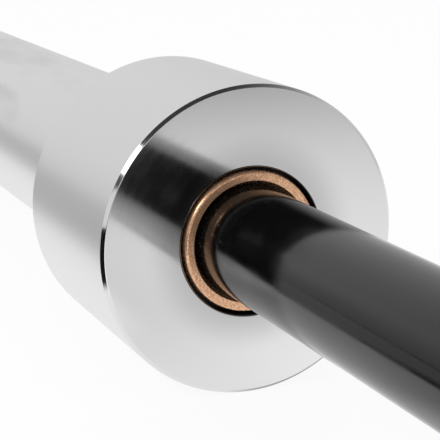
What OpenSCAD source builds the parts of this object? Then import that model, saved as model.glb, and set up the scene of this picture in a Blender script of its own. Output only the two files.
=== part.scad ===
// Deadlift bar: a thin black shaft with a sleeve that spins on bronze bushings at each end.
// The bar lies along X with its middle at the origin. All sizes are in millimetres.
// Each end is drawn once, as its right-hand end, and mirrored for the left.
// Along an end, distances run outward from the collar's inner face.

/* [Shaft] */
// Diameter of the shaft in the hand
shaft_d = 27; // [26:0.5:29]
// Length of shaft between the inner faces of the two collars
grip_length = 1435; // [1200:5:1500]
// Diameter of the turned-down journal at each end of the shaft
journal_d = 25; // [23:0.5:25.5]
// Radius left in the corner where the journal meets its shoulder
journal_fillet = 0.4; // [0.2:0.1:0.6]
// Chamfer on the shaft's two ends
shaft_end_chamfer = 1.5; // [0.5:0.1:2.5]
// Length of journal left beyond the retaining ring's groove
shaft_end_land = 4; // [3:0.5:8]
// Free space between the shaft's end and the end cap
shaft_end_room = 12; // [4:1:30]

/* [Collar] */
// Outer diameter of the collar that stops the plates
collar_d = 75; // [66:1:90]
// Length of the collar along the bar
collar_length = 56; // [46:1:70]
// Thickness of the solid web that carries the inner bushing
web_thickness = 26; // [16:1:34]
// Chamfer on the rim of the collar's inner face
front_rim_chamfer = 0.8; // [0.4:0.1:2]
// Chamfer on the rim of the collar's back face
back_rim_chamfer = 1.2; // [0.4:0.1:3]
// Radial gap around the bushing's flange in its counterbore
flange_gap = 0.7; // [0.3:0.1:1.5]
// Chamfer on the mouth of the counterbore
counterbore_chamfer = 0.45; // [0.2:0.05:1]

/* [Sleeve tube] */
// Outer diameter of the loadable sleeve
sleeve_d = 50; // [48:0.5:51]
// Length of sleeve outside the collar, which holds the plates
loadable_length = 381; // [300:1:440]
// Bore of the tube, which also seats the outer bushing
tube_bore_d = 34; // [31:0.5:36]
// Depth of the step where the tube enters the collar's socket
spigot_step = 2; // [1:0.5:4]
// Chamfer on the tube's outer end, which leads the plates on
loading_chamfer = 2; // [1:0.5:4]
// Chamfer on the leading edge of the spigot
spigot_chamfer = 1; // [0.5:0.1:2]
// Diameter of the pocket that holds the end cap
pocket_d = 40; // [38:0.5:41]
// Depth of the pocket from the tube's end
pocket_depth = 12; // [11:0.5:20]
// Chamfer on the pocket's mouth
pocket_chamfer = 0.6; // [0.2:0.1:1.2]

/* [Inner bushing] */
// Wall of the inner bushing's body
inner_bushing_wall = 2.45; // [2:0.05:3]
// How far the flange stands out beyond the body
flange_width = 1.1; // [0.8:0.1:2]
// Thickness of the flange
flange_thickness = 3.2; // [2.5:0.1:5]
// How far the flange stands proud of the collar's face
flange_proud = 0.1; // [0:0.05:0.4]
// Bevel on the flange's outer edge
flange_bevel = 0.85; // [0.3:0.05:1.2]
// Width of the funnel that leads into the bore
lead_in_width = 1.2; // [0.6:0.1:1.4]
// Depth of the funnel that leads into the bore
lead_in_depth = 2.5; // [1:0.1:4]

/* [Outer bushing] */
// Length of the outer bushing
outer_bushing_length = 40; // [25:1:60]
// Chamfer on the bushings' hidden edges
bushing_chamfer = 0.6; // [0.3:0.1:1]

/* [Thrust washers] */
// Thickness of each thrust washer
washer_thickness = 2; // [1:0.5:3]
// Radial gap between the washers and the tube's bore
washer_gap = 0.4; // [0.3:0.1:0.8]

/* [Shaft retaining ring] */
// Thickness of the ring in the shaft's groove
shaft_ring_thickness = 1.2; // [1:0.1:1.5]
// Depth of the groove in the journal
shaft_groove_depth = 0.55; // [0.4:0.05:0.8]
// Radial width of the ring opposite its gap
shaft_ring_width = 3; // [2.6:0.1:3.4]
// Radial width of the ring beside its lugs
shaft_ring_narrow = 1.6; // [1.3:0.1:2]
// Diameter of the ring's lugs
shaft_ring_lug_d = 4.2; // [3.8:0.1:4.3]
// Hole in each lug for the pliers
shaft_ring_hole_d = 2; // [1.5:0.1:2.2]
// Gap between the ring's lugs
shaft_ring_gap = 4.5; // [3:0.5:7]

/* [Cap retaining ring] */
// Thickness of the ring that holds the end cap
cap_ring_thickness = 1.75; // [1.5:0.05:2]
// Depth of the groove in the pocket's wall
cap_groove_depth = 1.25; // [1:0.05:1.5]
// Radial width of the ring opposite its gap
cap_ring_width = 3.9; // [3:0.1:4.5]
// Radial width of the ring beside its lugs
cap_ring_narrow = 2.2; // [1.8:0.1:2.8]
// Diameter of the ring's lugs
cap_ring_lug_d = 5.4; // [4.6:0.1:6]
// Hole in each lug for the pliers
cap_ring_hole_d = 2.5; // [2:0.1:3]
// Gap between the ring's lugs
cap_ring_gap = 6; // [4:0.5:10]

/* [End cap] */
// Thickness of the end cap
cap_thickness = 6; // [5:0.5:8]
// Chamfer on the cap's outer edge
cap_chamfer = 0.5; // [0.2:0.1:1]
// Diameter of the shallow dish turned in the cap's face
cap_dish_d = 24; // [16:1:28]
// Depth of the dish
cap_dish_depth = 0.8; // [0.4:0.1:1.5]
// Diameter of the relief turned in the cap's hidden face
cap_relief_d = 28; // [20:1:30]
// Depth of that relief
cap_relief_depth = 1.5; // [0.5:0.1:2]

/* [Cap seal] */
// Diameter of the O-ring's cord before it is squeezed
seal_cord_d = 2; // [1.6:0.1:2.4]
// How much the groove squeezes the cord
seal_squeeze = 0.2; // [0.1:0.05:0.3]

/* [Fits] */
// Radial clearance of the bushings on the shaft
running_clearance = 0.05; // [0.02:0.01:0.09]
// Radial clearance of the washers on the journal and of the cap in its pocket
sliding_clearance = 0.1; // [0.05:0.01:0.2]
// End play on each side of the outer bushing
end_play = 0.15; // [0.1:0.05:0.3]
// Side clearance of each retaining ring in its groove
groove_side_clearance = 0.1; // [0.05:0.01:0.2]

/* [Hidden] */
// Facets of every turned surface
round_fn = 96;

// Radii
shaft_r = shaft_d / 2;
journal_r = journal_d / 2;
shaft_groove_r = journal_r - shaft_groove_depth;
running_r = shaft_r + running_clearance;
journal_running_r = journal_r + running_clearance;
collar_r = collar_d / 2;
sleeve_r = sleeve_d / 2;
spigot_r = sleeve_r - spigot_step;
tube_bore_r = tube_bore_d / 2;
pocket_r = pocket_d / 2;
cap_groove_r = pocket_r + cap_groove_depth;
inner_bushing_r = running_r + inner_bushing_wall;
flange_r = inner_bushing_r + flange_width;
counterbore_r = flange_r + flange_gap;
washer_r = tube_bore_r - washer_gap;
cap_r = pocket_r - sliding_clearance;
seal_height = seal_cord_d - seal_squeeze;
seal_groove_r = pocket_r - seal_height;
seal_groove_width = seal_cord_d + 2 * seal_squeeze;

// Distances outward from the collar's inner face
flange_seat_u = flange_thickness - flange_proud;
sleeve_end_u = collar_length + loadable_length;
cap_seat_u = sleeve_end_u - pocket_depth;
cap_face_u = cap_seat_u + cap_thickness;
cap_groove_end_u = cap_face_u + cap_ring_thickness + groove_side_clearance;
shaft_end_u = cap_seat_u - shaft_end_room;
shaft_groove_end_u = shaft_end_u - shaft_end_land;
shaft_ring_u = shaft_groove_end_u - shaft_ring_thickness;
shaft_groove_u = shaft_ring_u - groove_side_clearance;
outer_washer_u = shaft_ring_u - washer_thickness;
outer_bushing_u = outer_washer_u - end_play - outer_bushing_length;
inner_washer_u = outer_bushing_u - end_play - washer_thickness;
shoulder_u = inner_washer_u;

// Angle between each lug's centre line and the middle of the ring's gap
shaft_lug_r = shaft_groove_r + shaft_ring_lug_d / 2;
shaft_lug_angle = asin((shaft_ring_gap + shaft_ring_lug_d) / 2 / shaft_lug_r);
cap_lug_r = cap_groove_r - cap_ring_lug_d / 2;
cap_lug_angle = asin((cap_ring_gap + cap_ring_lug_d) / 2 / cap_lug_r);

// Carries a piece that is drawn along Z to the right-hand end of the bar, with Z turned to X
module at_right_end() {
    translate([grip_length / 2, 0, 0]) rotate([0, 90, 0]) children();
}

// The same for the left-hand end, as a mirror image
module at_left_end() {
    mirror([1, 0, 0]) at_right_end() children();
}

// Turns a profile of [radius, distance] points about the bar's axis
module turned(profile) {
    rotate_extrude($fn = round_fn) polygon(profile);
}

// Turned-down end of the shaft: a core that starts inside the plain length, the fillet at
// the shoulder, the journal, the ring groove and the chamfered end
module journal() {
    fillet_u = shoulder_u + journal_fillet;
    fillet_r = journal_r + journal_fillet;
    rotate_extrude($fn = round_fn) difference() {
        polygon([
            [0, 0],
            [fillet_r, 0],
            [fillet_r, fillet_u],
            [journal_r, fillet_u],
            [journal_r, shaft_groove_u],
            [shaft_groove_r, shaft_groove_u],
            [shaft_groove_r, shaft_groove_end_u],
            [journal_r, shaft_groove_end_u],
            [journal_r, shaft_end_u - shaft_end_chamfer],
            [journal_r - shaft_end_chamfer, shaft_end_u],
            [0, shaft_end_u]
        ]);
        translate([fillet_r, fillet_u]) circle(r = journal_fillet, $fn = round_fn);
    }
}

// One-piece shaft: the plain length between the two shoulders and a journal at each end
module shaft() {
    plain_length = grip_length + 2 * shoulder_u;
    color("#1b1b1c") union() {
        rotate([0, 90, 0]) cylinder(h = plain_length, r = shaft_r, center = true, $fn = round_fn);
        at_right_end() journal();
        at_left_end() journal();
    }
}

// Stepped ring: counterbore, web with the bushing's seat, and socket for the tube
module collar() {
    turned([
        [counterbore_r + counterbore_chamfer, 0],
        [collar_r - front_rim_chamfer, 0],
        [collar_r, front_rim_chamfer],
        [collar_r, collar_length - back_rim_chamfer],
        [collar_r - back_rim_chamfer, collar_length],
        [spigot_r, collar_length],
        [spigot_r, web_thickness],
        [inner_bushing_r, web_thickness],
        [inner_bushing_r, flange_seat_u],
        [counterbore_r, flange_seat_u],
        [counterbore_r, counterbore_chamfer]
    ]);
}

// Tube with a spigot in the collar, a step against its back face and a pocket for the cap
module sleeve_tube() {
    turned([
        [tube_bore_r, web_thickness],
        [spigot_r - spigot_chamfer, web_thickness],
        [spigot_r, web_thickness + spigot_chamfer],
        [spigot_r, collar_length],
        [sleeve_r, collar_length],
        [sleeve_r, sleeve_end_u - loading_chamfer],
        [sleeve_r - loading_chamfer, sleeve_end_u],
        [pocket_r + pocket_chamfer, sleeve_end_u],
        [pocket_r, sleeve_end_u - pocket_chamfer],
        [pocket_r, cap_groove_end_u],
        [cap_groove_r, cap_groove_end_u],
        [cap_groove_r, cap_face_u],
        [pocket_r, cap_face_u],
        [pocket_r, cap_seat_u],
        [tube_bore_r, cap_seat_u]
    ]);
}

// Bronze bushing with a bevelled flange and a funnel into its bore
module inner_bushing() {
    turned([
        [running_r + lead_in_width, -flange_proud],
        [flange_r - flange_bevel, -flange_proud],
        [flange_r, flange_bevel - flange_proud],
        [flange_r, flange_seat_u],
        [inner_bushing_r, flange_seat_u],
        [inner_bushing_r, web_thickness - bushing_chamfer],
        [inner_bushing_r - bushing_chamfer, web_thickness],
        [running_r + bushing_chamfer, web_thickness],
        [running_r, web_thickness - bushing_chamfer],
        [running_r, lead_in_depth - flange_proud]
    ]);
}

// Plain bronze bushing on the shaft's journal
module outer_bushing() {
    end_u = outer_bushing_u + outer_bushing_length;
    turned([
        [journal_running_r + bushing_chamfer, outer_bushing_u],
        [tube_bore_r - bushing_chamfer, outer_bushing_u],
        [tube_bore_r, outer_bushing_u + bushing_chamfer],
        [tube_bore_r, end_u - bushing_chamfer],
        [tube_bore_r - bushing_chamfer, end_u],
        [journal_running_r + bushing_chamfer, end_u],
        [journal_running_r, end_u - bushing_chamfer],
        [journal_running_r, outer_bushing_u + bushing_chamfer]
    ]);
}

// Flat washer whose first face lies at the given distance. Both edges of its hole are
// chamfered, to clear the fillet in the shoulder's corner
module thrust_washer(first_face_u) {
    last_face_u = first_face_u + washer_thickness;
    washer_bore_r = journal_r + sliding_clearance;
    turned([
        [washer_bore_r + journal_fillet, first_face_u],
        [washer_r, first_face_u],
        [washer_r, last_face_u],
        [washer_bore_r + journal_fillet, last_face_u],
        [washer_bore_r, last_face_u - journal_fillet],
        [washer_bore_r, first_face_u + journal_fillet]
    ]);
}

// Snap ring for a shaft: its inside is round, its outside is set off so that it thins
// towards the gap, and two lugs with holes stand out beside the gap
module shaft_retaining_ring() {
    outer_r = shaft_groove_r + (shaft_ring_width + shaft_ring_narrow) / 2;
    set_off = (shaft_ring_width - shaft_ring_narrow) / 2;
    translate([0, 0, shaft_ring_u]) linear_extrude(shaft_ring_thickness) difference() {
        union() {
            translate([set_off, 0]) circle(r = outer_r, $fn = round_fn);
            for (side = [-1, 1])
                rotate(180 + side * shaft_lug_angle) translate([shaft_lug_r, 0])
                    circle(d = shaft_ring_lug_d, $fn = round_fn);
        }
        circle(r = shaft_groove_r, $fn = round_fn);
        translate([-outer_r - shaft_ring_lug_d, -shaft_ring_gap / 2])
            square([outer_r + shaft_ring_lug_d, shaft_ring_gap]);
        for (side = [-1, 1])
            rotate(180 + side * shaft_lug_angle) translate([shaft_lug_r, 0])
                circle(d = shaft_ring_hole_d, $fn = round_fn);
    }
}

// Snap ring for a bore: its outside is round, its inside is set off so that it thins
// towards the gap, and two lugs with holes stand inward beside the gap
module cap_retaining_ring() {
    inner_r = cap_groove_r - (cap_ring_width + cap_ring_narrow) / 2;
    set_off = (cap_ring_width - cap_ring_narrow) / 2;
    translate([0, 0, cap_face_u]) linear_extrude(cap_ring_thickness) difference() {
        intersection() {
            circle(r = cap_groove_r, $fn = round_fn);
            union() {
                difference() {
                    circle(r = cap_groove_r, $fn = round_fn);
                    translate([-set_off, 0]) circle(r = inner_r, $fn = round_fn);
                }
                for (side = [-1, 1])
                    rotate(180 + side * cap_lug_angle) translate([cap_lug_r, 0])
                        circle(d = cap_ring_lug_d, $fn = round_fn);
            }
        }
        translate([-cap_groove_r - cap_ring_width, -cap_ring_gap / 2])
            square([cap_groove_r + cap_ring_width, cap_ring_gap]);
        for (side = [-1, 1])
            rotate(180 + side * cap_lug_angle) translate([cap_lug_r, 0])
                circle(d = cap_ring_hole_d, $fn = round_fn);
    }
}

// Turned disc with a dish in its face, a relief behind and a groove for the seal in its rim
module end_cap() {
    seal_u = cap_seat_u + (cap_thickness - seal_groove_width) / 2;
    turned([
        [0, cap_seat_u + cap_relief_depth],
        [cap_relief_d / 2, cap_seat_u + cap_relief_depth],
        [cap_relief_d / 2, cap_seat_u],
        [cap_r, cap_seat_u],
        [cap_r, seal_u],
        [seal_groove_r, seal_u],
        [seal_groove_r, seal_u + seal_groove_width],
        [cap_r, seal_u + seal_groove_width],
        [cap_r, cap_face_u - cap_chamfer],
        [cap_r - cap_chamfer, cap_face_u],
        [cap_dish_d / 2, cap_face_u],
        [cap_dish_d / 2 - cap_dish_depth, cap_face_u - cap_dish_depth],
        [0, cap_face_u - cap_dish_depth]
    ]);
}

// O-ring squeezed between the cap's groove and the pocket's wall
module cap_seal() {
    seal_middle_u = cap_seat_u + cap_thickness / 2;
    rotate_extrude($fn = round_fn) intersection() {
        translate([pocket_r - seal_height / 2, seal_middle_u]) circle(d = seal_cord_d, $fn = round_fn);
        translate([seal_groove_r, seal_middle_u - seal_cord_d]) square([seal_height, 2 * seal_cord_d]);
    }
}

module left_collar() { color("#d9dadc") at_left_end() collar(); }
module left_sleeve_tube() { color("#d2d3d5") at_left_end() sleeve_tube(); }
module left_inner_bushing() { color("#bb8a62") at_left_end() inner_bushing(); }
module left_outer_bushing() { color("#bb8a62") at_left_end() outer_bushing(); }
module left_inner_thrust_washer() { color("#8c8f93") at_left_end() thrust_washer(inner_washer_u); }
module left_outer_thrust_washer() { color("#8c8f93") at_left_end() thrust_washer(outer_washer_u); }
module left_shaft_retaining_ring() { color("#3a3a3c") at_left_end() shaft_retaining_ring(); }
module left_end_cap() { color("#c6c8cb") at_left_end() end_cap(); }
module left_cap_seal() { color("#222222") at_left_end() cap_seal(); }
module left_cap_retaining_ring() { color("#3a3a3c") at_left_end() cap_retaining_ring(); }

module right_collar() { color("#d9dadc") at_right_end() collar(); }
module right_sleeve_tube() { color("#d2d3d5") at_right_end() sleeve_tube(); }
module right_inner_bushing() { color("#bb8a62") at_right_end() inner_bushing(); }
module right_outer_bushing() { color("#bb8a62") at_right_end() outer_bushing(); }
module right_inner_thrust_washer() { color("#8c8f93") at_right_end() thrust_washer(inner_washer_u); }
module right_outer_thrust_washer() { color("#8c8f93") at_right_end() thrust_washer(outer_washer_u); }
module right_shaft_retaining_ring() { color("#3a3a3c") at_right_end() shaft_retaining_ring(); }
module right_end_cap() { color("#c6c8cb") at_right_end() end_cap(); }
module right_cap_seal() { color("#222222") at_right_end() cap_seal(); }
module right_cap_retaining_ring() { color("#3a3a3c") at_right_end() cap_retaining_ring(); }

shaft();
left_collar();
left_sleeve_tube();
left_inner_bushing();
left_outer_bushing();
left_inner_thrust_washer();
left_outer_thrust_washer();
left_shaft_retaining_ring();
left_end_cap();
left_cap_seal();
left_cap_retaining_ring();
right_collar();
right_sleeve_tube();
right_inner_bushing();
right_outer_bushing();
right_inner_thrust_washer();
right_outer_thrust_washer();
right_shaft_retaining_ring();
right_end_cap();
right_cap_seal();
right_cap_retaining_ring();
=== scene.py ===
# %% [markdown]
# # A deadlift bar, seen from beside its collar
#
# A deadlift bar is a thin black steel shaft with a chromed sleeve on each end. The sleeve spins
# on bronze bushings, so that the plates don't have to turn with the lifter's hands. The CAD
# model gives every piece its real size, and this script gives each piece its finish. Almost
# every piece was made on a lathe, so almost every mesh here is a profile turned about the bar.

# %% Load the frame
import math

import bpy
import numpy as np
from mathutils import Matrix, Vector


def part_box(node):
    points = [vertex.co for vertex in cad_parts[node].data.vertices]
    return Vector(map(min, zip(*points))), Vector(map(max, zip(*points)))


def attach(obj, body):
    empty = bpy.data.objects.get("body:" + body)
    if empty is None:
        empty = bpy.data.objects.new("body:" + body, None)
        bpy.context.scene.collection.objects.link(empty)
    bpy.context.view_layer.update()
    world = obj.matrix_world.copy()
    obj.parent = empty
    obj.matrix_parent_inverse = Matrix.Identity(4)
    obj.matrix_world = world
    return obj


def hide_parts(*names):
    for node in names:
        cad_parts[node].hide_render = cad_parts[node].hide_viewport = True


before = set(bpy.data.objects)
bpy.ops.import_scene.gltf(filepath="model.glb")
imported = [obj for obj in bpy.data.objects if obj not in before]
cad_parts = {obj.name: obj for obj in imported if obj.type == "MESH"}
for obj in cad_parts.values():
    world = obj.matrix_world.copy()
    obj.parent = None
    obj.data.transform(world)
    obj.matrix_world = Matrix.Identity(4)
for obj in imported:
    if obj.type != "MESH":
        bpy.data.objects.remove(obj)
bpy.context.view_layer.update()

# %% [markdown]
# ## Where things are
#
# The bar lies along X, with its middle at the origin. The two ends are mirror images, so each
# place is a distance `u` outward from the collar's inner face. A CAD node's box gives the
# places that show from outside, and the sizes that a box can't show are written here once, as
# the CAD has them. Everything is in metres.

# %% Places from the frame
MM = 0.001
ring_play = 0.1 * MM

collar_low, collar_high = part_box("right_collar")
tube_low, tube_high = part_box("right_sleeve_tube")
bushing_low, bushing_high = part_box("right_inner_bushing")
cap_low, cap_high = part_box("right_end_cap")
shaft_ring_low, shaft_ring_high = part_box("right_shaft_retaining_ring")
cap_ring_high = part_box("right_cap_retaining_ring")[1]
washer_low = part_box("right_inner_thrust_washer")[0]
shaft_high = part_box("shaft")[1]

face_x = collar_low.x
collar_length = collar_high.x - face_x
collar_r = collar_high.z
sleeve_r = tube_high.z
sleeve_end_u = tube_high.x - face_x
web_u = tube_low.x - face_x
bushing_face_u = bushing_low.x - face_x
flange_r = bushing_high.z
cap_seat_u = cap_low.x - face_x
cap_face_u = cap_high.x - face_x
cap_r = cap_high.z
cap_groove_end_u = cap_ring_high.x - face_x + ring_play
shoulder_u = washer_low.x - face_x
shaft_groove_u = shaft_ring_low.x - face_x - ring_play
shaft_groove_end_u = shaft_ring_high.x - face_x
shaft_end_u = shaft_high.x - face_x
shaft_r = shaft_high.z
print(f"collar face at x {face_x:.4f}, collar {collar_length:.4f} long, "
      f"shaft radius {shaft_r:.4f}")

# %% Sizes that the boxes don't show
journal_r = 12.5 * MM
shaft_groove_r = 11.95 * MM
shaft_end_chamfer = 1.5 * MM
journal_fillet = 0.4 * MM
front_rim_chamfer = 0.8 * MM
back_rim_chamfer = 1.2 * MM
counterbore_r = flange_r + 0.7 * MM
counterbore_chamfer = 0.45 * MM
flange_seat_u = 3.1 * MM
inner_bushing_r = 16.0 * MM
running_r = shaft_r + 0.05 * MM
flange_bevel = 0.85 * MM
lead_in_width = 1.2 * MM
lead_in_depth = 2.5 * MM
spigot_r = 23.0 * MM
spigot_chamfer = 1.0 * MM
tube_bore_r = 17.0 * MM
pocket_r = 20.0 * MM
pocket_chamfer = 0.6 * MM
cap_groove_r = 21.25 * MM
loading_chamfer = 2.0 * MM
print(f"gap round the flange {(counterbore_r - flange_r) / MM:.1f} mm, running gap "
      f"{(running_r - shaft_r) / MM:.2f} mm")

# %% [markdown]
# ## The camera
#
# The photograph is a close view along the bar. The two standard diameters in it, the 27 mm
# shaft and the 50 mm sleeve, fix the perspective: the camera stands about a third of a metre
# from the collar's face, 23 degrees off the bar's axis and tilted 14 degrees down, with a long
# lens. It could be aimed by eye, but here its place is worked out from where the middle of the
# collar's face lies in its view: so far ahead, so far to the right and so far below.

# %% Camera
sensor_width = 36.0
lens = 118.33
off_axis = math.radians(23.374)
tilt_down = math.radians(13.715)
face_ahead = 341.235 * MM
face_right = 7.535 * MM
face_below = 5.170 * MM

forward = np.array([-math.cos(tilt_down) * math.cos(off_axis),
                    math.cos(tilt_down) * math.sin(off_axis),
                    -math.sin(tilt_down)])
right = np.array([math.sin(off_axis), math.cos(off_axis), 0.0])
down = np.cross(forward, right)
left_face_middle = np.array([-face_x, 0.0, 0.0])
camera_place = left_face_middle - face_ahead * forward - face_right * right - face_below * down

camera_data = bpy.data.cameras.new("photo_camera")
camera_data.lens = lens
camera_data.sensor_width = sensor_width
camera_data.clip_start = 0.01
camera = bpy.data.objects.new("photo_camera", camera_data)
bpy.context.scene.collection.objects.link(camera)
camera.location = camera_place
camera.rotation_euler = (math.pi / 2 - tilt_down, 0.0, math.pi / 2 - off_axis)
bpy.context.scene.camera = camera
print("camera at", np.round(camera_place, 4))

# %% [markdown]
# ## Turning a profile
#
# A lathe makes a shape that is the same all the way round, so one outline of points (radius,
# distance) describes it. A real turned edge is never quite sharp: a small rounding catches
# the light as a thin line. A Bevel modifier could round the mesh later, but the edges here need
# radii of their own, and that is simplest in the outline. Two extra points close to each corner
# keep the flat stretches flat when the mesh is shaded smooth, which matters on a mirror finish.

# %% Outline with softened corners
edge_break = 0.12 * MM
arc_steps = 3
longest_cut = 0.3
support_reach = 1.4


def soften(corners, radius, closed=True, special=None):
    """Outline with each corner replaced by an arc.

    Each corner P with unit directions a and b to its neighbours is cut back by
    t = radius / tan(half the angle between a and b), but by no more than longest_cut of
    either side. The arc between P + t a and P + t b is drawn as a quadratic curve through
    those two points, pulled towards P. A support point lies at support_reach times t along
    each side. The dictionary special gives some corners, by number, a radius of their own.
    """
    corners = np.asarray(corners, float)
    count = len(corners)
    points = []
    for i, corner in enumerate(corners):
        if not closed and i in (0, count - 1):
            points.append(corner)
            continue
        to_previous = corners[i - 1] - corner
        to_next = corners[(i + 1) % count] - corner
        length_previous = np.linalg.norm(to_previous)
        length_next = np.linalg.norm(to_next)
        a = to_previous / length_previous
        b = to_next / length_next
        half_angle = math.acos(max(-1.0, min(1.0, float(a @ b)))) / 2
        corner_radius = (special or {}).get(i, radius)
        cut = min(corner_radius / math.tan(half_angle),
                  longest_cut * length_previous, longest_cut * length_next)
        start, end = corner + cut * a, corner + cut * b
        points.append(corner + support_reach * cut * a)
        for t in np.linspace(0, 1, arc_steps + 1):
            points.append((1 - t) ** 2 * start + 2 * t * (1 - t) * corner + t ** 2 * end)
        points.append(corner + support_reach * cut * b)
    return np.array(points)


print(f"most edges are rounded by {edge_break / MM:.2f} mm in {arc_steps} steps")

# %% [markdown]
# The outline becomes a mesh as a grid: one row of points for each point of the outline, and one
# column for each direction round the bar. Blender's Spin tool does this too, but it leaves
# doubled points and sometimes an inside-out skin. With whole arrays the grid closes on itself,
# and one sum, the signed volume, tells which way the faces look.

# %% From outline to mesh
def outward(vertices, faces):
    """Faces in an order whose normals point out.

    The signed volume is the sum over triangles of p0 . (p1 x p2) / 6, which is positive
    when the faces wind outwards. Where it is negative, every face is turned over.
    """
    volume = 0.0
    for triangle in ((0, 1, 2), (0, 2, 3)):
        p0, p1, p2 = (vertices[faces[:, k]] for k in triangle)
        volume += np.einsum("ij,ij->i", p0, np.cross(p1, p2)).sum()
    return faces if volume > 0 else faces[:, ::-1]


def as_polygons(faces):
    """Rows of four corners as a list, where a repeated corner makes the face a triangle."""
    return [[c for k, c in enumerate(row) if c != row[k - 1]] for row in faces.tolist()]


def link_mesh(name, vertices, polygons, smooth):
    """New object at the origin, with its place in its mesh."""
    mesh = bpy.data.meshes.new(name)
    mesh.from_pydata(vertices, [], polygons)
    mesh.polygons.foreach_set("use_smooth", np.asarray(smooth, bool))
    mesh.validate()
    piece = bpy.data.objects.new(name, mesh)
    bpy.context.scene.collection.objects.link(piece)
    triangles = sum(len(p) - 2 for p in polygons)
    print(f"{name}: {len(vertices)} points, {triangles} triangles")
    return piece


def turned_piece(name, side, outline, around):
    """Closed outline turned about the bar's axis.

    Point (i, j) is at x = side (face_x + u_i), y = r_i cos(a_j), z = r_i sin(a_j), where
    a_j = 2 pi j / around. Rows and columns both close on themselves, so the mesh is a torus.
    """
    radius, u = outline[:, 0], outline[:, 1]
    angle = 2 * np.pi * np.arange(around) / around
    x = np.repeat(side * (face_x + u), around)
    y = np.outer(radius, np.cos(angle)).ravel()
    z = np.outer(radius, np.sin(angle)).ravel()
    vertices = np.column_stack([x, y, z])
    row = np.arange(len(outline))[:, None]
    column = np.arange(around)[None, :]
    next_row, next_column = (row + 1) % len(outline), (column + 1) % around
    faces = np.stack([row * around + column, row * around + next_column,
                      next_row * around + next_column, next_row * around + column], axis=-1)
    faces = outward(vertices, faces.reshape(-1, 4))
    return link_mesh(name, vertices, as_polygons(faces), np.ones(len(faces), bool))


def fit_to_frame(piece, material, body, node):
    """Finish of a piece, the body it rides on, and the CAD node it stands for."""
    piece.data.materials.append(material)
    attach(piece, body)
    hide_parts(node)


# %% [markdown]
# ## Materials
#
# Every finish starts from what the real surface is. Colours are written as the sRGB values an
# eye would pick and turned into the linear values that the renderer works in. One function adds
# any node: a setting is a property of the node or one of its inputs, and an input that is given
# another node is linked to it. A material is then read from the inside out, like a formula.

# %% Colours and nodes
def from_hex(code):
    """sRGB hex colour as linear red, green and blue: c / 12.92 up to 0.04045, and
    ((c + 0.055) / 1.055) ^ 2.4 above it."""
    channels = [int(code[k:k + 2], 16) / 255 for k in (1, 3, 5)]
    linear = [c / 12.92 if c <= 0.04045 else ((c + 0.055) / 1.055) ** 2.4 for c in channels]
    return (*linear, 1.0)


def add_node(owner, kind, settings):
    """Adds a node to a material or world, with its settings and links.

    A setting is a property, or an input by name or number. A node given as a value stands
    for its first output, and an output is linked. The stops of a colour ramp are pairs of
    place and colour.
    """
    tree = owner.node_tree
    node = tree.nodes.new(kind)
    for name, value in settings.items():
        if isinstance(value, bpy.types.Node):
            value = value.outputs[0]
        if name == "stops":
            for stop, (position, colour) in zip(node.color_ramp.elements, value):
                stop.position, stop.color = position, from_hex(colour)
        elif isinstance(value, bpy.types.NodeSocket):
            tree.links.new(value, node.inputs[name])
        elif isinstance(name, str) and hasattr(node, name):
            setattr(node, name, value)
        else:
            node.inputs[name].default_value = value
    return node


def new_material(name):
    """Material whose node tree is still empty."""
    material = bpy.data.materials.new(name)
    material.use_nodes = True
    material.node_tree.nodes.clear()
    return material


def give_surface(material, settings):
    """Principled shader with these settings and links, joined to the material's output."""
    shader = add_node(material, "ShaderNodeBsdfPrincipled", settings)
    add_node(material, "ShaderNodeOutputMaterial", {"Surface": shader})
    print(f"{material.name}: {len(material.node_tree.nodes)} nodes")


# %% [markdown]
# ### Levels in layers
#
# Most of what varies here, a gloss over the tool marks or a shadow on the floor, is a level that
# goes softly from one value to another inside some limits. A painter would build that up in
# layers, and so does this function: each layer has a level outside its zone, a level inside it,
# and the limits of the zone, and is added to what lies under it, multiplies it or tops it.

# %% Layers
def build_up(owner, layers):
    """Level built up layer by layer, starting from 0.

    A layer is (operation, outside, inside, limit, ...) and a limit is (value, begin, stop).
    Its level is outside + (inside - outside) * the product, over its limits, of a smooth
    step that is 0 where the value is at begin and 1 where it is at stop.
    """
    level = 0.0
    for operation, outside, inside, *limits in layers:
        zone = 1.0
        for value, begin, stop in limits:
            step = add_node(owner, "ShaderNodeMapRange", {
                "interpolation_type": "SMOOTHSTEP", "Value": value,
                "From Min": begin, "From Max": stop})
            zone = add_node(owner, "ShaderNodeMath", {
                "operation": "MULTIPLY", 0: zone, 1: step})
        layer = add_node(owner, "ShaderNodeMath", {
            "operation": "MULTIPLY_ADD", 0: zone, 1: inside - outside, 2: outside})
        level = add_node(owner, "ShaderNodeMath", {"operation": operation, 0: level, 1: layer})
    return level


# %% [markdown]
# ### Chrome
#
# Hard chrome is a mirror whose sharpness depends on the steel under it. The collar's faces were
# polished until they reflect the shaft, while its outside and the sleeve kept a satin skin. A
# lathe tool leaves fine rings about the axis. On a flat face a ring has one radius, and on a
# cylinder it has one place along the bar, so the sum of the two, radius + distance along, gives
# rings on both. The rings could be a picture wrapped round the piece, but a one-dimensional noise
# of that sum stays sharp at any distance and never shows a seam.

# %% Lathe coordinate
def parts_of(owner, coordinate):
    """The x, y and z of a texture coordinate."""
    source = add_node(owner, "ShaderNodeTexCoord", {}).outputs[coordinate]
    parts = add_node(owner, "ShaderNodeSeparateXYZ", {0: source})
    return tuple(parts.outputs)


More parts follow.
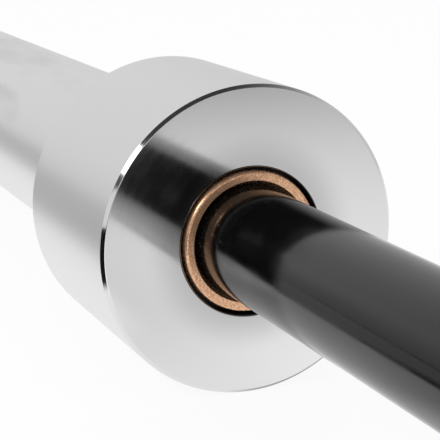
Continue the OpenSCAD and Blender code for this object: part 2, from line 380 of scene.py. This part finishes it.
def lathe_axes(material):
    """Distance from the bar's axis, sqrt(y^2 + z^2), and distance along it, |x|."""
    x, y, z = parts_of(material, "Object")
    y_squared = add_node(material, "ShaderNodeMath", {"operation": "MULTIPLY", 0: y, 1: y})
    squares = add_node(material, "ShaderNodeMath", {
        "operation": "MULTIPLY_ADD", 0: z, 1: z, 2: y_squared})
    radius = add_node(material, "ShaderNodeMath", {"operation": "SQRT", 0: squares})
    along = add_node(material, "ShaderNodeMath", {"operation": "ABSOLUTE", 0: x})
    return radius, along


def rings(material, pitch, detail=2.0):
    """Noise from 0 to 1 that changes only across the tool marks, about once per pitch."""
    radius, along = lathe_axes(material)
    across_marks = add_node(material, "ShaderNodeMath", {"operation": "ADD", 0: radius, 1: along})
    return add_node(material, "ShaderNodeTexNoise", {
        "noise_dimensions": "1D", "W": across_marks, "Scale": 1.0 / pitch, "Detail": detail})


def facing_along(material):
    """1 on the flat faces and 0 on the cylinders: the size of the normal's part along X."""
    normal_x, _, _ = parts_of(material, "Normal")
    return add_node(material, "ShaderNodeMath", {"operation": "ABSOLUTE", 0: normal_x})


# %% Collar chrome
# Polishing leaves marks of a few hundredths of a millimetre. They are too fine to show, so they
# are drawn 0.1 mm apart, where they only haze the reflection. Slower waves of the polishing
# wheel, some millimetres apart, show as faint broad rings. Round the counterbore the face is
# duller, and its colour turns greyer there as painted shade, where the recess darkens the face.
counterbore_shade_width, dull_width = 10 * MM, 6 * MM
polished_chrome = new_material("polished_hard_chrome")
radius = lathe_axes(polished_chrome)[0]
marks = rings(polished_chrome, 0.1 * MM)
waves = rings(polished_chrome, 2.5 * MM, detail=0.0)
# Painted shade: 0 at the counterbore, where the colour is greyer, and 1 from 10 mm out.
clear_of_painted_shade = build_up(polished_chrome, [
    ("ADD", 0.0, 1.0, (radius, counterbore_r, counterbore_r + counterbore_shade_width))])
mirror = build_up(polished_chrome, [
    ("ADD", 0.075, 0.095, (marks, 0.45, 0.60)),
    ("ADD", 0.0, 0.015, (waves, 0.3, 0.7)),
    ("ADD", 0.03, 0.0, (radius, counterbore_r, counterbore_r + dull_width))])
satin = build_up(polished_chrome, [
    ("ADD", 0.275, 0.300, (marks, 0.3, 0.7)),
    ("MULTIPLY", 1.0, 0.0, (facing_along(polished_chrome), 0.2, 0.6))])
give_surface(polished_chrome, {
    "Metallic": 1.0,
    # The grey stop is the painted shade near the counterbore.
    "Base Color": add_node(polished_chrome, "ShaderNodeValToRGB", {
        "Fac": clear_of_painted_shade, "stops": [(0.0, "#BFBFBF"), (1.0, "#DADADA")]}),
    "Roughness": add_node(polished_chrome, "ShaderNodeMath", {
        "operation": "MAXIMUM", 0: mirror, 1: satin}),
    "Normal": add_node(polished_chrome, "ShaderNodeBump", {
        "Height": waves, "Distance": 0.0004 * MM})})

# %% Sleeve chrome
# The sleeve is plated as it came off the lathe, with marks about 0.05 mm apart. Drawn 0.15 mm
# apart they are just coarse enough to break the reflection into a soft satin sheen. Hands and
# plates leave faint grey smears on it, a centimetre or two wide and drawn out along the bar.
smear_width, smear_stretch = 14 * MM, 4
satin_chrome = new_material("satin_hard_chrome")
marks = rings(satin_chrome, 0.15 * MM)
place = add_node(satin_chrome, "ShaderNodeTexCoord", {}).outputs["Object"]
drawn_out = add_node(satin_chrome, "ShaderNodeMapping", {
    "Vector": place, "Scale": (1 / smear_stretch, 1.0, 1.0)})
smears = add_node(satin_chrome, "ShaderNodeTexNoise", {
    "Vector": drawn_out, "Scale": 1 / smear_width, "Detail": 4.0})
give_surface(satin_chrome, {
    "Metallic": 1.0,
    "Base Color": add_node(satin_chrome, "ShaderNodeValToRGB", {
        "Fac": smears, "stops": [(0.52, "#DBDBDB"), (0.72, "#CACACA")]}),
    "Roughness": build_up(satin_chrome, [("ADD", 0.275, 0.315, (marks, 0.3, 0.7))])})

# %% [markdown]
# ### Black plating
#
# The shaft was drawn, ground and plated a glossy black. The skin reflects the room as lacquer
# does, faintly head-on and strongly at a slant, so it is made as a dark non-metal, whose shader
# has exactly that. It has been handled: faint blotches of film, some 8 mm wide, change its
# gloss, and close to the bushings it holds specks of dust. Real dust is a tenth of a
# millimetre wide or less. It is drawn 0.6 mm wide, because finer specks don't show.

# %% Shaft black
dust_from, dust_full = face_x - 28 * MM, face_x - 14 * MM
shaft_black = new_material("glossy_black_plating")
along = lathe_axes(shaft_black)[1]
place = add_node(shaft_black, "ShaderNodeTexCoord", {}).outputs["Object"]
blotches = add_node(shaft_black, "ShaderNodeTexNoise", {
    "Vector": place, "Scale": 1 / (8 * MM), "Detail": 3.0})
dust = add_node(shaft_black, "ShaderNodeTexNoise", {
    "Vector": place, "Scale": 1 / (0.6 * MM), "Detail": 0.0})
beside_bushing = build_up(shaft_black, [("ADD", 0.0, 1.0, (along, dust_from, dust_full))])
specks = add_node(shaft_black, "ShaderNodeMath", {
    "operation": "MULTIPLY", 0: dust, 1: beside_bushing})
give_surface(shaft_black, {
    "Metallic": 0.0,
    "Base Color": add_node(shaft_black, "ShaderNodeValToRGB", {
        "Fac": specks, "stops": [(0.72, "#050505"), (0.82, "#3A3A3A")]}),
    "Roughness": build_up(shaft_black, [("ADD", 0.10, 0.16, (blotches, 0.35, 0.7))]),
    "Normal": add_node(shaft_black, "ShaderNodeBump", {
        "Height": blotches, "Distance": 0.01 * MM})})

# %% [markdown]
# ### Bronze
#
# A bearing bushing is pressed from bronze powder and sintered, so that its pores hold oil. It is
# duller than cast bronze: a fine grain of lighter metal and dark pores. A plain brown metal
# would look painted, so one noise drives colour, gloss and bump together, as one pore does.
# The edges are rubbed and a little glossier than the flat face, and the direction that a spot
# faces tells them apart. The powder's grains are 0.1 mm wide and are drawn 0.45 mm wide to show.

# %% Bushing bronze
bearing_bronze = new_material("sintered_bearing_bronze")
place = add_node(bearing_bronze, "ShaderNodeTexCoord", {}).outputs["Object"]
grain = add_node(bearing_bronze, "ShaderNodeTexNoise", {
    "Vector": place, "Scale": 1 / (0.45 * MM), "Detail": 4.0, "Roughness": 0.65})
give_surface(bearing_bronze, {
    "Metallic": 0.8,
    "Base Color": add_node(bearing_bronze, "ShaderNodeValToRGB", {
        "Fac": grain, "stops": [(0.30, "#AE7B58"), (0.62, "#F0C29E")]}),
    "Roughness": build_up(bearing_bronze, [
        ("ADD", 0.36, 0.22, (grain, 0.3, 0.7)),
        ("MULTIPLY", 0.85, 1.0, (facing_along(bearing_bronze), 0.85, 0.97))]),
    "Normal": add_node(bearing_bronze, "ShaderNodeBump", {
        "Height": grain, "Distance": 0.008 * MM})})

# %% Painted shade in the gap
# The narrow gap round the bushing is deep and lies in shade. Its walls get a near-black metal
# as painted shade, and the eye reads it as a thin black ring.
gap_shade_paint = new_material("counterbore_painted_shade")
give_surface(gap_shade_paint, {
    "Metallic": 0.9, "Base Color": from_hex("#1A1A1B"), "Roughness": 0.35})

# %% [markdown]
# ### Steel, aluminium and rubber at the sleeve's end
#
# The end cap is aluminium, faced on a lathe, so its rings are coarser than the collar's and
# spread each highlight into a bar. The washers are ground, which leaves fine close rings. The
# snap rings are spring steel with a dark phosphate skin of fine crystals, and the O-ring is
# matt rubber. The last two differ only in numbers, so one loop makes both. Phosphate crystals
# are a hundredth of a millimetre wide and are drawn 0.12 mm wide to show.

# %% Turned aluminium and ground steel
turned = {}
for name, colour, pitch, detail, gloss, depth in (
        ("turned_aluminium", "#D3D5D8", 0.3 * MM, 1.0, (0.20, 0.34), 0.008 * MM),
        ("ground_washer_steel", "#B4B6B8", 0.12 * MM, 2.0, (0.26, 0.42), 0.0)):
    metal = turned[name] = new_material(name)
    marks = rings(metal, pitch, detail)
    settings = {"Metallic": 1.0, "Base Color": from_hex(colour),
                "Roughness": build_up(metal, [("ADD", *gloss, (marks, 0.3, 0.7))])}
    if depth:
        settings["Normal"] = add_node(metal, "ShaderNodeBump", {
            "Height": marks, "Distance": depth})
    give_surface(metal, settings)

# %% Phosphated steel and rubber
grained = {}
for name, metallic, size, dark, pale, gloss in (
        ("phosphated_spring_steel", 0.8, 0.12 * MM, "#2B2B2E", "#4E4E53", (0.34, 0.52)),
        ("nitrile_rubber", 0.0, 0.5 * MM, "#171717", "#232323", (0.50, 0.66))):
    skin = grained[name] = new_material(name)
    place = add_node(skin, "ShaderNodeTexCoord", {}).outputs["Object"]
    grain = add_node(skin, "ShaderNodeTexNoise", {
        "Vector": place, "Scale": 1 / size, "Detail": 2.0})
    give_surface(skin, {
        "Metallic": metallic,
        "Base Color": add_node(skin, "ShaderNodeValToRGB", {
            "Fac": grain, "stops": [(0.35, dark), (0.65, pale)]}),
        "Roughness": build_up(skin, [("ADD", *gloss, (grain, 0.35, 0.65))]),
        "Normal": add_node(skin, "ShaderNodeBump", {
            "Height": grain, "Distance": 0.006 * MM})})

# %% [markdown]
# ## The collar
#
# The collar is a thick stepped ring that stops the plates. It could be cut from a cylinder with
# Boolean modifiers, but a lathe never cuts it that way either: its outline runs along the inner
# face, over the rim, back along the outside, down the back face and through the socket, the
# bushing's seat and the counterbore. The edges in view have roundings of their own, because
# the rim's thin lines of light and shadow come from them.

# %% Outline of the collar
plain_rounding = 0.05 * MM
rim_rounding = 0.25 * MM
mouth_rounding = 0.45 * MM
collar_outline = soften([
    [counterbore_r + counterbore_chamfer, 0],
    [collar_r - front_rim_chamfer, 0],
    [collar_r, front_rim_chamfer],
    [collar_r, collar_length - back_rim_chamfer],
    [collar_r - back_rim_chamfer, collar_length],
    [spigot_r, collar_length],
    [spigot_r, web_u],
    [inner_bushing_r, web_u],
    [inner_bushing_r, flange_seat_u],
    [counterbore_r, flange_seat_u],
    [counterbore_r, counterbore_chamfer]], plain_rounding,
    special={0: mouth_rounding, 1: rim_rounding, 2: rim_rounding, 10: mouth_rounding})
print(f"collar outline of {len(collar_outline)} points")


def paint_shade_in_gap(piece):
    """Painted shade, as a second material, on the faces whose middle lies inside the
    counterbore's mouth.
    """
    mesh = piece.data
    middles = np.empty(3 * len(mesh.polygons))
    mesh.polygons.foreach_get("center", middles)
    middles = middles.reshape(-1, 3)
    radius = np.hypot(middles[:, 1], middles[:, 2])
    in_gap = radius < counterbore_r + 0.5 * counterbore_chamfer
    mesh.materials.append(gap_shade_paint)
    mesh.polygons.foreach_set("material_index", in_gap.astype(np.int32))


# %% [markdown]
# ## The sleeve tube and the inner bushing
#
# The tube carries the plates. Its inner end is a spigot pressed into the collar, and its outer
# end has a pocket with a groove for the cap's snap ring. The bushing is a tube with a flange,
# and the shaft comes out through its flared mouth. Both are closed outlines as well, so the
# function that turned the collar turns them. The flange's edge is a quarter circle, worked out
# from its angle, because a worn bronze edge is rounder than a steel one.

# %% Outlines of the tube and the bushing
tube_outline = soften([
    [tube_bore_r, web_u],
    [spigot_r - spigot_chamfer, web_u],
    [spigot_r, web_u + spigot_chamfer],
    [spigot_r, collar_length],
    [sleeve_r, collar_length],
    [sleeve_r, sleeve_end_u - loading_chamfer],
    [sleeve_r - loading_chamfer, sleeve_end_u],
    [pocket_r + pocket_chamfer, sleeve_end_u],
    [pocket_r, sleeve_end_u - pocket_chamfer],
    [pocket_r, cap_groove_end_u],
    [cap_groove_r, cap_groove_end_u],
    [cap_groove_r, cap_face_u],
    [pocket_r, cap_face_u],
    [pocket_r, cap_seat_u],
    [tube_bore_r, cap_seat_u]], edge_break)

flange_edge_points = 5
quarter = np.linspace(0, math.pi / 2, flange_edge_points)
flange_edge = np.column_stack([flange_r - flange_bevel * (1 - np.sin(quarter)),
                               bushing_face_u + flange_bevel * (1 - np.cos(quarter))])
bushing_outline = soften([
    [running_r + lead_in_width, bushing_face_u],
    *flange_edge,
    [flange_r, flange_seat_u],
    [inner_bushing_r, flange_seat_u],
    [inner_bushing_r, web_u],
    [running_r, web_u],
    [running_r, bushing_face_u + lead_in_depth]], edge_break)
print(f"tube outline of {len(tube_outline)} points, bushing of {len(bushing_outline)}")

# %% Turned pieces of both ends
end_columns = 256
for side, end in ((-1, "left"), (1, "right")):
    for kind, outline, material, slot_name in (
            ("collar", collar_outline, polished_chrome, "polished_chrome"),
            ("sleeve_tube", tube_outline, satin_chrome, "satin_chrome"),
            ("inner_bushing", bushing_outline, bearing_bronze, "bearing_bronze")):
        piece = turned_piece(f"{end}_{kind}_turned", side, outline, end_columns)
        fit_to_frame(piece, material, f"{end}_sleeve", f"{end}_{kind}")
        if kind == "collar":
            paint_shade_in_gap(piece)

# %% [markdown]
# ## The shaft
#
# The shaft is one long turned bar. Where it is held, a knurling wheel has pressed two sets of
# grooves into it, at 30 degrees to either side of the bar's length, which leaves small
# pyramids. A bump pattern would be cheaper, but it leaves the outline smooth. On a grid of rings
# and columns the pyramids come from one rule: where ring number plus column number is even, the
# point is a tip, and elsewhere it lies in a groove. Each square of the grid is cut along the line
# that joins its two groove points. A real knurl of this kind is about 1.2 mm wide. This one is a
# little coarser, so that the mesh stays light.

# %% Knurl sizes
knurl_columns = 56
knurl_width = 2 * math.pi * shaft_r / knurl_columns
knurl_length = knurl_width / math.tan(math.radians(30))
knurl_tip, knurl_groove = 0.10 * MM, -0.26 * MM
knurl_start, knurl_stop = 0.2150, 0.6075
knurl_run_out = 0.5 * MM
ring_mark_x, ring_mark_width = 0.405, 5.0 * MM
print(f"knurl pyramids {knurl_width / MM:.2f} mm round and {knurl_length / MM:.2f} mm long")

# %% Rows of the shaft
plain_middle = [0.0, 0.1]
pole_r = 0.02 * MM
shaft_end = soften([
    [shaft_r, knurl_stop - face_x + 2 * knurl_run_out],
    [shaft_r, shoulder_u],
    [journal_r + journal_fillet, shoulder_u],
    [journal_r, shoulder_u + journal_fillet],
    [journal_r, shaft_groove_u],
    [shaft_groove_r, shaft_groove_u],
    [shaft_groove_r, shaft_groove_end_u],
    [journal_r, shaft_groove_end_u],
    [journal_r, shaft_end_u - shaft_end_chamfer],
    [journal_r - shaft_end_chamfer, shaft_end_u],
    [pole_r, shaft_end_u]], edge_break, closed=False)

zones = [(knurl_start, ring_mark_x - ring_mark_width / 2),
         (ring_mark_x + ring_mark_width / 2, knurl_stop)]
grip_x = [plain_middle]
for start, stop in zones:
    half_pyramids = 2 * round((stop - start) / knurl_length)
    grip_x += [[start - knurl_run_out], np.linspace(start, stop, half_pyramids + 1),
               [stop + knurl_run_out]]
grip_x = np.concatenate(grip_x)
half_x = np.concatenate([grip_x, face_x + shaft_end[:, 1]])
half_r = np.concatenate([np.full(len(grip_x), shaft_r), shaft_end[:, 0]])
row_x = np.concatenate([-half_x[:0:-1], half_x])
row_r = np.concatenate([half_r[:0:-1], half_r])
row_knurl = np.any([(np.abs(row_x) > start) & (np.abs(row_x) < stop)
                    for start, stop in zones], axis=0)
print(f"{len(row_x)} rings, {row_knurl.sum()} of them knurled")


# %% Solid from rings
def solid_of_rings(x, radius, columns, knurled):
    """Rings of points about the bar's axis, closed by a point at each end.

    Point (i, j) is at angle a_j = 2 pi j / columns and at radius r_i, plus the tip height
    where ring i is knurled and i + j is even, or the groove depth where i + j is odd. A
    knurled square is cut into two triangles along its groove points. A triangle is a row
    that repeats its last corner.
    """
    ring, column = np.arange(len(x))[:, None], np.arange(columns)[None, :]
    tip = (ring + column) % 2 == 0
    depth = np.where(tip, knurl_tip, knurl_groove) * knurled[:, None]
    r = radius[:, None] + depth
    angle = 2 * np.pi * column / columns
    points = np.stack([np.broadcast_to(x[:, None], r.shape), r * np.cos(angle),
                       r * np.sin(angle)], axis=-1).reshape(-1, 3)
    vertices = np.vstack([points, [[x[0], 0, 0], [x[-1], 0, 0]]])

    following = (column + 1) % columns
    squares = np.stack([ring[:-1] * columns + column, ring[:-1] * columns + following,
                        ring[1:] * columns + following, ring[1:] * columns + column], axis=-1)
    cut = (knurled[:-1] | knurled[1:])[:, None] & np.ones_like(column, bool)
    plain = squares[~cut]
    first_is_tip = tip[:-1][cut]
    even, odd = squares[cut][first_is_tip], squares[cut][~first_is_tip]
    last = (len(x) - 1) * columns
    pole = np.full(columns, len(points))
    faces = np.vstack([plain, even[:, [0, 1, 3, 3]], even[:, [1, 2, 3, 3]],
                       odd[:, [0, 1, 2, 2]], odd[:, [0, 2, 3, 3]],
                       np.stack([following[0], column[0], pole, pole], axis=-1),
                       np.stack([last + column[0], last + following[0], pole + 1, pole + 1],
                                axis=-1)])
    smooth = np.arange(len(faces)) < len(plain)
    return vertices, as_polygons(outward(vertices, faces)), smooth


# %% Shaft mesh
shaft = link_mesh("shaft_turned", *solid_of_rings(row_x, row_r, 2 * knurl_columns, row_knurl))
fit_to_frame(shaft, shaft_black, "shaft", "shaft")

# %% [markdown]
# ## The end caps
#
# A disc closes each sleeve. It is turned too, with a shallow dish in its outer face, a relief
# behind and a groove for the O-ring in its rim. Its outline starts and ends on the axis, so it
# isn't a torus as the collar is. It is a solid of rings as the shaft is, without a knurl.

# %% End caps
seal_groove_r = pocket_r - 1.8 * MM
seal_groove_half = 1.2 * MM
cap_middle_u = (cap_seat_u + cap_face_u) / 2
cap_chamfer = 0.5 * MM
dish_r, dish_depth = 12.0 * MM, 0.8 * MM
relief_r, relief_depth = 14.0 * MM, 1.5 * MM
cap_columns = 192
cap_outline = soften([
    [pole_r, cap_seat_u + relief_depth],
    [relief_r, cap_seat_u + relief_depth],
    [relief_r, cap_seat_u],
    [cap_r, cap_seat_u],
    [cap_r, cap_middle_u - seal_groove_half],
    [seal_groove_r, cap_middle_u - seal_groove_half],
    [seal_groove_r, cap_middle_u + seal_groove_half],
    [cap_r, cap_middle_u + seal_groove_half],
    [cap_r, cap_face_u - cap_chamfer],
    [cap_r - cap_chamfer, cap_face_u],
    [dish_r, cap_face_u],
    [dish_r - dish_depth, cap_face_u - dish_depth],
    [pole_r, cap_face_u - dish_depth]], edge_break, closed=False)
no_knurl = np.zeros(len(cap_outline), bool)
for side, end in ((-1, "left"), (1, "right")):
    cap_x = side * (face_x + cap_outline[:, 1])
    cap = link_mesh(f"{end}_end_cap_turned",
                    *solid_of_rings(cap_x, cap_outline[:, 0], cap_columns, no_knurl))
    fit_to_frame(cap, turned["turned_aluminium"], f"{end}_sleeve", f"{end}_end_cap")

# %% [markdown]
# ## The pieces inside
#
# The outer bushings, washers, snap rings and seals lie inside the sleeve. Only the cap's snap
# ring shows, at the far end. The CAD solids already have the right shapes, so they stay as they
# are and only get their finishes.

# %% Finishes of the CAD pieces
node_finish = {
    "outer_bushing": bearing_bronze,
    "inner_thrust_washer": turned["ground_washer_steel"],
    "outer_thrust_washer": turned["ground_washer_steel"],
    "shaft_retaining_ring": grained["phosphated_spring_steel"],
    "cap_retaining_ring": grained["phosphated_spring_steel"],
    "cap_seal": grained["nitrile_rubber"]}
for end in ("left", "right"):
    for kind, material in node_finish.items():
        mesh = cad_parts[f"{end}_{kind}"].data
        mesh.materials.clear()
        mesh.materials.append(material)
print(f"{2 * len(node_finish)} CAD pieces finished")

# %% [markdown]
# ## Floor, light and background
#
# Polished metal has hardly any colour of its own: it shows the room. So the studio is planned
# for what the chrome should reflect. A product photographer sets a bright metal part on a white
# sweep, lets the room behind the camera fall dark, and hangs one long soft light beside it.
# The pale wall gives the metal its light tone, and the dark room gives it its black lines.
#
# The camera itself sees plain white everywhere. Light Path tells the shaders which kind of ray
# is asking, so that the white backdrop costs no light on the object.

# %% Floor mesh
floor_z = -collar_r
floor_half = 8.0
floor_mesh = bpy.data.meshes.new("studio_floor")
floor_mesh.from_pydata([(-floor_half, -floor_half, floor_z), (floor_half, -floor_half, floor_z),
                        (floor_half, floor_half, floor_z), (-floor_half, floor_half, floor_z)],
                       [], [(0, 1, 2, 3)])
floor = bpy.data.objects.new("studio_floor", floor_mesh)
bpy.context.scene.collection.objects.link(floor)
print(f"floor {2 * floor_half:.0f} m square at z {floor_z:.4f}")

# %% [markdown]
# ### What the metal sees of the floor
#
# The white sweep is a strip that follows the bar. On the camera's side it ends a little more
# than a collar's width from the axis, and the floor beyond that edge is dark, which the metal
# shows as a black line. The sweep is brightest under the two ends, and the collar dims it at
# its own foot. Lamps could do all this, but they would light the object too. So the tones are
# painted on the floor in layers, measured along the bar and across it, and only reflections
# see them.

# %% The white sweep
middle_level, end_level, end_boost = 0.28, 1.03, 0.22
bright_end = 0.70
floor_white = new_material("studio_floor_white")
floor_x, across, _ = parts_of(floor_white, "Object")
along = add_node(floor_white, "ShaderNodeMath", {"operation": "ABSOLUTE", 0: floor_x})
lit = build_up(floor_white, [
    # from the dim middle of the bar to its bright ends
    ("ADD", middle_level, end_level, (along, 0.0, bright_end)),
    ("ADD", 0.0, end_boost, (along, 0.64, 0.72)),
    # a little brighter behind the bar than in front
    ("MULTIPLY", 0.88, 1.06, (across, -0.02, 0.05)),
    # a pool of light in front of the grip's last stretch
    ("ADD", 0.0, 0.75, (across, 0.0, -0.022), (along, 0.36, 0.58), (along, 0.68, 0.62)),
    # the shadows at the collar's foot and behind the sleeve
    ("MULTIPLY", 1.0, 0.40, (along, 0.7165, 0.7185), (along, 0.81, 0.78),
     (across, -0.008, 0.003), (across, 0.06, 0.03)),
    ("MULTIPLY", 1.0, 0.73, (along, 0.725, 0.75), (across, 0.03, 0.08))])
print(f"the sweep's level is {middle_level} in the middle and {end_level + end_boost:.2f} "
      "at the ends")

# %% The dark floor beyond the sweep's edge
# It stays dark beside the grip and brightens past the collar. A limit at a slant keeps the
# bright part out of the second reflection, from collar to shaft to collar.
sweep_edge = -0.088
sweep_edge_blur = 0.008
slope = 0.5
slant = add_node(floor_white, "ShaderNodeMath", {
    "operation": "MULTIPLY_ADD", 0: along, 1: slope, 2: across})
beyond = build_up(floor_white, [
    ("ADD", 0.01, 0.48, (along, 0.715, 0.82)),
    ("ADD", 0.0, 0.08, (along, 0.95, 1.15)),
    ("MULTIPLY", 0.0, 1.0, (slant, -0.25, 0.05))])
wider_at_grip = 50 * MM
wider = build_up(floor_white, [("ADD", 0.0, wider_at_grip, (along, 0.65, 0.45))])
from_edge = add_node(floor_white, "ShaderNodeMath", {"operation": "ADD", 0: across, 1: wider})
on_sweep = build_up(floor_white, [
    ("ADD", 0.0, 1.0, (from_edge, sweep_edge - sweep_edge_blur, sweep_edge + sweep_edge_blur))])
sweep = add_node(floor_white, "ShaderNodeMix", {"Factor": on_sweep, "A": beyond, "B": lit})
print(f"the sweep ends {-sweep_edge / MM:.0f} mm in front of the bar's axis")

# %% Which rays see the floor's tones
# Mirrors see the tones, and everything else sees a white floor. The part that glows is steady,
# and the matt rest takes the object's shadow.
mirror_glow, camera_glow, matt_white = 0.8, 0.90, 0.9
paths = add_node(floor_white, "ShaderNodeLightPath", {})
mirrored = add_node(floor_white, "ShaderNodeMath", {
    "operation": "MAXIMUM", 0: paths.outputs["Is Glossy Ray"],
    1: paths.outputs["Is Transmission Ray"]})
tone = add_node(floor_white, "ShaderNodeMix", {"Factor": mirrored, "A": 1.0, "B": sweep})
seen = add_node(floor_white, "ShaderNodeMath", {
    "operation": "MULTIPLY", 0: paths.outputs["Is Camera Ray"], 1: camera_glow})
share = add_node(floor_white, "ShaderNodeMath", {
    "operation": "MULTIPLY_ADD", 0: mirrored, 1: mirror_glow, 2: seen})
white = add_node(floor_white, "ShaderNodeMath", {
    "operation": "MULTIPLY", 0: tone, 1: matt_white})
matt = add_node(floor_white, "ShaderNodeBsdfDiffuse", {"Color": white})
glow = add_node(floor_white, "ShaderNodeEmission", {"Color": (1, 1, 1, 1), "Strength": tone})
mixed = add_node(floor_white, "ShaderNodeMixShader", {0: share, 1: matt, 2: glow})
add_node(floor_white, "ShaderNodeOutputMaterial", {"Surface": mixed})
floor_mesh.materials.append(floor_white)
print(f"{floor_white.name}: {len(floor_white.node_tree.nodes)} nodes")

# %% [markdown]
# ### What the metal sees of the room
#
# Above the floor the metal sees a pale wall all round, a little darker low down in one corner
# and nearly black in one narrow part of the room, which makes the dark line on the rim. These
# are zones of the direction that a ray goes, so they could be walls and curtains of their own.
# The world's shader does the same with no mesh to stand in the way of other views.

# %% World
wall_level = 0.87
room_level = 0.008
plain_level = 0.90

world = bpy.data.worlds.new("studio")
bpy.context.scene.world = world
world.use_nodes = True
world.node_tree.nodes.clear()
d_x, d_y, d_z = parts_of(world, "Generated")
dark_room = ((d_x, 0.74, 0.80), (d_x, 0.945, 0.925), (d_y, 0.60, 0.35))
studio = build_up(world, [
    ("ADD", wall_level, 0.85 * wall_level, (d_y, 0.1, 0.6)),
    ("MULTIPLY", 1.0, 0.58, (d_z, 0.40, 0.0), (d_x, -0.60, -0.75), (d_y, -0.42, -0.52)),
    ("MULTIPLY", 1.0, 0.0, *dark_room),
    ("ADD", 0.0, room_level, *dark_room)])

paths = add_node(world, "ShaderNodeLightPath", {})
white = add_node(world, "ShaderNodeMath", {
    "operation": "MAXIMUM", 0: paths.outputs["Is Camera Ray"],
    1: paths.outputs["Is Transmission Ray"]})
plain = add_node(world, "ShaderNodeMath", {
    "operation": "MULTIPLY_ADD", 0: paths.outputs["Is Diffuse Ray"], 1: plain_level, 2: white})
level = add_node(world, "ShaderNodeMath", {
    "operation": "MULTIPLY_ADD", 0: paths.outputs["Is Glossy Ray"], 1: studio, 2: plain})
sky = add_node(world, "ShaderNodeBackground", {"Color": (1, 1, 1, 1), "Strength": level})
add_node(world, "ShaderNodeOutputWorld", {"Surface": sky})
print(f"world: {len(world.node_tree.nodes)} nodes, wall level {wall_level}")

# %% [markdown]
# ### Cards
#
# A photographer holds cards near the metal to give it a tone just where it needs one. The matt
# black card hangs above the bar and darkens the shaft's upper side. The grey one goes on from it
# beyond the bar and brightens outward, which fades the black into grey. The low white one stands
# behind the grip and draws the bright line along the shaft's upper edge. Each is a flat board
# that glows, and only reflections see it: it takes no light away and throws no shadow.

# %% Cards
# Each card lies between two edges along the bar. An edge is half its length and its (y, z), and
# a fade is y at its start, y at its end and the level that it ends with.
for name, (half, edge), (far_half, far_edge), level, fade in (
        ("matt_black_card", (0.62, (-3.6, 1.2)), (0.62, (0.2, 1.2)), 0.05, None),
        ("grey_card", (0.62, (0.2, 1.2)), (1.6, (3.2, 1.2)), 0.05, (0.2, 2.3, 0.70)),
        ("low_white_card", (0.567, (0.1, 0.012)), (0.32, (0.1, 0.17)), 0.78, None)):
    mesh = bpy.data.meshes.new(name)
    mesh.from_pydata([(-half, *edge), (half, *edge), (far_half, *far_edge),
                      (-far_half, *far_edge)], [], [(0, 1, 2, 3)])
    board = bpy.data.objects.new(name, mesh)
    bpy.context.scene.collection.objects.link(board)
    for ray in ("camera", "diffuse", "transmission", "volume_scatter", "shadow"):
        setattr(board, f"visible_{ray}", False)
    paint = new_material(name)
    if fade:
        fade_start, fade_end, bright = fade
        y = parts_of(paint, "Object")[1]
        level = build_up(paint, [("ADD", level, bright, (y, fade_start, fade_end))])
    glow = add_node(paint, "ShaderNodeEmission", {"Color": (1, 1, 1, 1), "Strength": level})
    add_node(paint, "ShaderNodeOutputMaterial", {"Surface": glow})
    mesh.materials.append(paint)
    print(f"{name}: {2 * half:.2f} to {2 * far_half:.2f} m long")

# %% [markdown]
# ### The long soft light
#
# One rectangular softbox stands beside the bar, on the camera's side, and looks down at its
# middle. An area light is the plain choice: a long one throws a soft shadow and shows in the
# rim as one clean glint. Its power is worked out from the brightness of its surface, so that
# its size can change without changing how bright the glint is.

# %% Long soft light
light_length, light_width = 1.7, 0.34
light_direction = np.array([0.0, -0.775, 0.63])
light_distance = 1.15
light_radiance = 4.5

light_data = bpy.data.lights.new("long_softbox", "AREA")
light_data.shape = "RECTANGLE"
light_data.size, light_data.size_y = light_length, light_width
light_data.energy = light_radiance * math.pi * light_length * light_width
light = bpy.data.objects.new("long_softbox", light_data)
bpy.context.scene.collection.objects.link(light)
light.location = light_distance * light_direction
light.rotation_euler = (math.atan2(-light_direction[1], light_direction[2]), 0.0, 0.0)
print("softbox power", round(light_data.energy, 2), "W")

# %% [markdown]
# ## The last lines
#
# The Standard view shows each colour as it is written.

# %% Finish
bpy.context.scene.view_settings.view_transform = "Standard"
